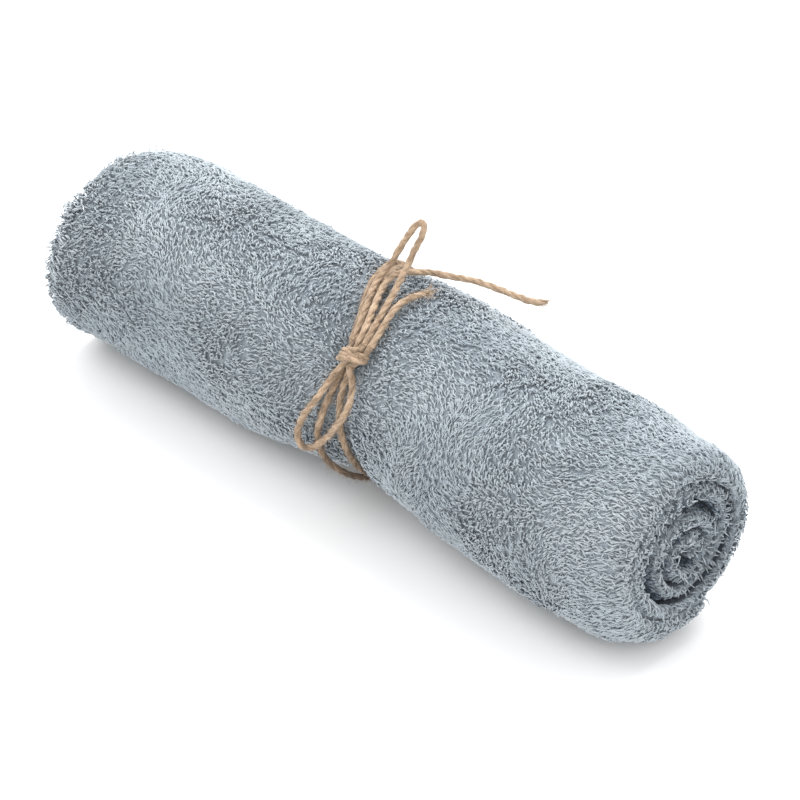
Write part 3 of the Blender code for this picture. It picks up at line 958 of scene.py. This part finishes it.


# where the pile was stroked, and where painted light is laid along the top of the roll: x and the angle round the
# roll, half sizes, how flat, how pale
strokesAndTopLight = (
    (-0.125, 122, 0.022, 16, 0.35, 0.16),
    (-0.123, 165, 0.030, 16, -0.40, -0.14),
    (-0.163, 160, 0.014, 40, 0.10, 0.10),
    (-0.079, 133, 0.022, 15, 0.35, 0.14),
    (-0.035, 128, 0.018, 15, 0.25, 0.10),
    (-0.021, 108, 0.020, 14, -0.30, -0.12),
    (-0.090, 87, 0.026, 16, -0.05, 0.06),
    (-0.141, 89, 0.022, 20, 0.10, 0.10),
    (-0.046, 172, 0.026, 16, -0.10, -0.05),
    (0.052, 127, 0.026, 18, 0.40, 0.15),
    (0.060, 99, 0.022, 14, -0.20, -0.04),
    (0.099, 134, 0.024, 16, -0.10, 0.02),
    (0.036, 160, 0.022, 16, 0.20, -0.02),
    (0.016, 90, 0.018, 14, 0.05, 0.04),
    (0.108, 100, 0.026, 16, 0.10, 0.00),
    (0.143, 152, 0.018, 20, 0.25, 0.06),
    (0.162, 130, 0.018, 30, 0.40, 0.22),
    (0.160, 165, 0.018, 24, 0.30, 0.16),
    (0.155, 80, 0.016, 26, 0.20, 0.12),
    # these three lie along the top of the roll; their paleness is painted light
    (-0.060, 78, 0.050, 16, 0.10, 0.16),
    (0.090, 74, 0.050, 14, 0.10, 0.10),
    (-0.150, 70, 0.030, 24, 0.10, 0.14),
    (-0.136, 195, 0.030, 18, 0.20, 0.02),
    (0.169, 200, 0.014, 26, 0.20, 0.06),
)


def strokedAndTopLit(base, column):
    total = np.zeros(len(base))
    degrees = np.degrees(np.arctan2(base[:, 2] - roll["rest"], base[:, 1])) % 360
    for x, where, long, wide, flat, pale in strokesAndTopLight:
        off = (degrees - where + 180) % 360 - 180
        total += (flat, pale)[column] * np.exp(-((base[:, 0] - x) / long) ** 2 - (off / wide) ** 2)
    return total


places, normals, sunken = scatter()
print("pile loops that show:", len(places))


def field(points, scale, offset):
    return np.array([noise.noise(Vector(p) * scale + Vector(offset)) for p in points])


def strokedPile():
    # the root of every loop, the side it is stroked to, how flat it lies and how long it is
    n = len(places)
    order = rng.permutation(n)
    base, up, crease = places[order], normals[order], sunken[order]
    swirl = field(base, 17, (3.1, 0.2, 1.7)) * 2.6 + field(base, 48, (0.4, 7.7, 2.2)) * 0.9
    swirl *= 1 - 0.7 * np.clip((base[:, 0] - 0.132) / 0.022, 0, 1)      # combed over the edge of the near end
    swirl += rng.normal(size=n) * 0.35
    lean = pile["lean"] + 0.7 * field(base, 21, (8.8, 1.2, 4.4)) + 0.5 * field(base, 60, (1.0, 2.0, 9.4))
    facing = up @ towards
    nearEdge = np.clip((base[:, 0] - 0.128) / 0.020, 0, 1) * (up[:, 0] < 0.6) * (crease < 0.02)
    grazing = turnsAway(up)
    lean += strokedAndTopLit(base, 0) + 0.32 * nearEdge + 0.28 * grazing
    lean = np.clip(lean + rng.normal(size=n) * 0.12, pile["leastLean"], 1.0)
    alongX = np.array([1.0, 0, 0]) - up * up[:, :1]
    flatFace = np.linalg.norm(alongX, axis=1) < 0.35
    alongX[flatFace] = np.cross(up[flatFace], (0.1, 0.9, 0.3))
    alongX /= np.linalg.norm(alongX, axis=1)[:, None]
    lay = np.cos(swirl)[:, None] * alongX + np.sin(swirl)[:, None] * np.cross(up, alongX)
    length = pile["length"] * rng.uniform(*pile["lengths"], n) * (1 - 0.22 * crease)
    thick = np.where(facing < 0.15, 1.3, 1.0)
    tuft = field(base, 150, (5.2, 0.6, 3.9))
    frayed = (base[:, 0] < -0.163) & (base[:, 2] > 0.040) & (rng.random(n) < 0.22 + 1.2 * tuft)
    return {"base": base, "up": up, "lay": lay, "lean": lean, "length": length, "thick": thick,
            "crease": crease, "frayed": frayed, "nearEdge": nearEdge, "grazing": grazing}


def makeRoom(loops):
    # loops by the twine, under the roll and on the open end's rim
    base, up, lay, lean, length = (loops[key] for key in ("base", "up", "lay", "lean", "length"))
    keep = np.ones(len(base), bool)
    for k in range(len(base)):
        spot, _, gap = near.find(base[k])
        if gap < pile["nearTwine"]:
            away = base[k] - np.array(spot)
            away -= up[k] * np.dot(away, up[k])
            away /= np.linalg.norm(away) + 1e-9
            close = 1 - max(gap - 0.0026, 0) / 0.0046
            lay[k] = lay[k] * (1 - close) + away * close
            lay[k] /= np.linalg.norm(lay[k]) + 1e-9
            length[k] *= 1 - 0.55 * close
            lean[k] = max(lean[k], 0.55)
            tip = base[k] + up[k] * length[k] * 0.5 + lay[k] * length[k] * 0.5
            if near.find(tip)[2] < pile["touching"]:
                keep[k] = False
        if base[k][2] < 0.006 and up[k][2] < -0.4:
            length[k] *= 0.6
            lean[k] = 1.0
            keep[k] &= rng.random() < 0.45
        if base[k][0] < -0.164:
            length[k] *= 1.15
            lean[k] = 0.35 + 0.4 * lean[k]
        if loops["frayed"][k]:
            length[k] *= 1.45
            lean[k] *= 0.7
    return {key: values[keep] for key, values in loops.items()}


def loopRings(loops):
    # three rings of three points for each loop: root, middle and tip
    base, up, lay, lean, length = (loops[key] for key in ("base", "up", "lay", "lean", "length"))
    n = len(base)
    cross = np.cross(up, lay)
    curl = rng.normal(size=n) * 0.18
    t = np.linspace(0, 1, 3)
    high = length * (0.86 - 0.50 * lean)
    forward = length * (0.28 + 0.68 * lean)
    rise = np.stack([-0.10 + 0 * lean, 0.78 + 0.10 * lean, 1.0 - 0.40 * lean], axis=1)
    reach = np.stack([0 * lean, 0.34 + 0.14 * lean, 1.0 + 0 * lean], axis=1)
    spine = (base[:, None, :] + up[:, None, :] * (high[:, None] * rise)[..., None]
             + lay[:, None, :] * (forward[:, None] * reach)[..., None]
             + cross[:, None, :] * (length[:, None] * curl[:, None] * np.sin(t * 3.0)[None, :])[..., None])
    ahead = np.gradient(spine, axis=1)
    ahead /= np.linalg.norm(ahead, axis=2)[..., None]
    sideways = np.repeat(cross[:, None, :], 3, axis=1)
    sideways -= ahead * np.sum(sideways * ahead, axis=2)[..., None]
    sideways /= np.linalg.norm(sideways, axis=2)[..., None]
    upright = np.cross(ahead, sideways)
    wide = pile["width"] * loops["thick"] * rng.uniform(*pile["widths"], n)
    wide = wide[:, None] * np.array([0.85, 1.08, 0.55])
    turn = math.pi / 2 + np.arange(3) * fullTurn / 3
    ring = (spine[:, :, None, :]
            + wide[:, :, None, None] * (np.cos(turn)[None, None, :, None] * sideways[:, :, None, :]
                                        + 0.85 * np.sin(turn)[None, None, :, None] * upright[:, :, None, :]))
    ring[..., 2] = np.maximum(ring[..., 2], 0.0002 + 0.0002 * rng.random(ring.shape[:3]))
    return ring


def loopTones(loops):
    # how pale each point is: painted shade at the root and down in the creases, painted light at the open end and
    # on top, where the root's painted shade is also softer
    base, lean, crease, grazing = (loops[key] for key in ("base", "lean", "crease", "grazing"))
    n = len(base)
    patch = 0.5 + 0.9 * field(base, 20, (2.2, 6.1, 0.8))
    inside = (base[:, 0] > 0.12) & (np.hypot(base[:, 1] - 0.005, base[:, 2] - roll["rest"] + 0.005) < 0.037)
    openEnd = np.clip((-0.160 - base[:, 0]) / 0.008, 0, 1)
    shade = pile["tone"] + pile["patchTone"] * patch + strokedAndTopLit(base, 1) + rng.normal(size=n) * pile["speckle"]
    shade += pile["leanTone"] * (lean - 0.5)
    # painted light on the frayed tufts and the far end's rim, painted shade down in the creases and inside the near
    # end
    shade += pile["paintedFrayedBacklight"] * loops["frayed"] + 0.08 * openEnd + pile["paintedCreaseShade"] * crease - 0.02 * inside
    # painted light on the far end's rim and on top of the roll; the root's painted shade is softer there
    soft = np.maximum(np.clip((-0.156 - base[:, 0]) / 0.010, 0, 1), grazing)
    shade += 0.04 * soft + pile["paintedTopLight"] * grazing
    soft = np.maximum(soft, 0.65 * loops["nearEdge"])
    return (shade[:, None, None] + (1 - 0.75 * soft)[:, None, None] * np.array(pile["paintedRootShade"])[None, :, None]
            + np.array(pile["ridgeLightSideShade"])[None, None, :])


def ownCells(count):
    # every loop has its own small cell of the map
    cells = int(math.ceil(math.sqrt(count)))
    cell = np.arange(count)
    corner = np.stack([cell % cells, cell // cells], axis=1)[:, None, :] / cells
    local = np.stack([np.tile([0.1, 0.4, 0.7], 3), np.repeat([0.1, 0.5, 0.9], 3)], axis=1)[None] / cells
    return (corner + local).reshape(-1, 2)


def pilePiece(name, ring, tones):
    verts = ring.reshape(-1, 3)
    count = len(ring)
    sides = []
    for k in (0, 3):
        for m in range(3):
            after = (m + 1) % 3
            sides.append([k + m, k + after, k + 3 + after, k + 3 + m])
    first = np.arange(count)[:, None] * 9
    quads = (np.array(sides)[None] + first[:, :, None]).reshape(-1, 4)
    caps = np.concatenate([np.array([[2, 1, 0]]) + first, np.array([[6, 7, 8]]) + first])
    corners = np.concatenate([quads.ravel(), caps.ravel()])
    starts = np.concatenate([np.arange(len(quads)) * 4, len(quads) * 4 + np.arange(len(caps)) * 3])
    data = bpy.data.meshes.new("pile")
    data.vertices.add(len(verts))
    data.vertices.foreach_set("co", verts.astype(np.float32).ravel())
    data.loops.add(len(corners))
    data.loops.foreach_set("vertex_index", corners.astype(np.int32))
    data.polygons.add(len(starts))
    data.polygons.foreach_set("loop_start", starts.astype(np.int32))
    data.update(calc_edges=True)
    tone = data.attributes.new("tone", "FLOAT", "POINT")
    tone.data.foreach_set("value", tones.ravel().astype(np.float32))
    layer = data.uv_layers.new(name="OFBake")
    layer.data.foreach_set("uv", ownCells(count)[corners].astype(np.float32).ravel())
    data.validate()
    data.shade_smooth()
    data.materials.append(pileFinish)
    piece = bpy.data.objects.new(name, data)
    bpy.context.collection.objects.link(piece)
    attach(piece, "root")
    return piece


def buildPile():
    loops = makeRoom(strokedPile())
    ring = loopRings(loops)
    tones = loopTones(loops)
    n = len(ring)
    print("pile loops made:", n, "with", n * 14, "triangles")
    per = int(math.ceil(n / pile["pieces"]))
    parts = [slice(number * per, min(n, (number + 1) * per)) for number in range(pile["pieces"])]
    return [pilePiece(f"terry_pile_{number + 1}", ring[part], tones[part]) for number, part in enumerate(parts)]


pilePieces = buildPile()
for name, piece in cords.items():
    line = lines[name]

print("the towel is whole")
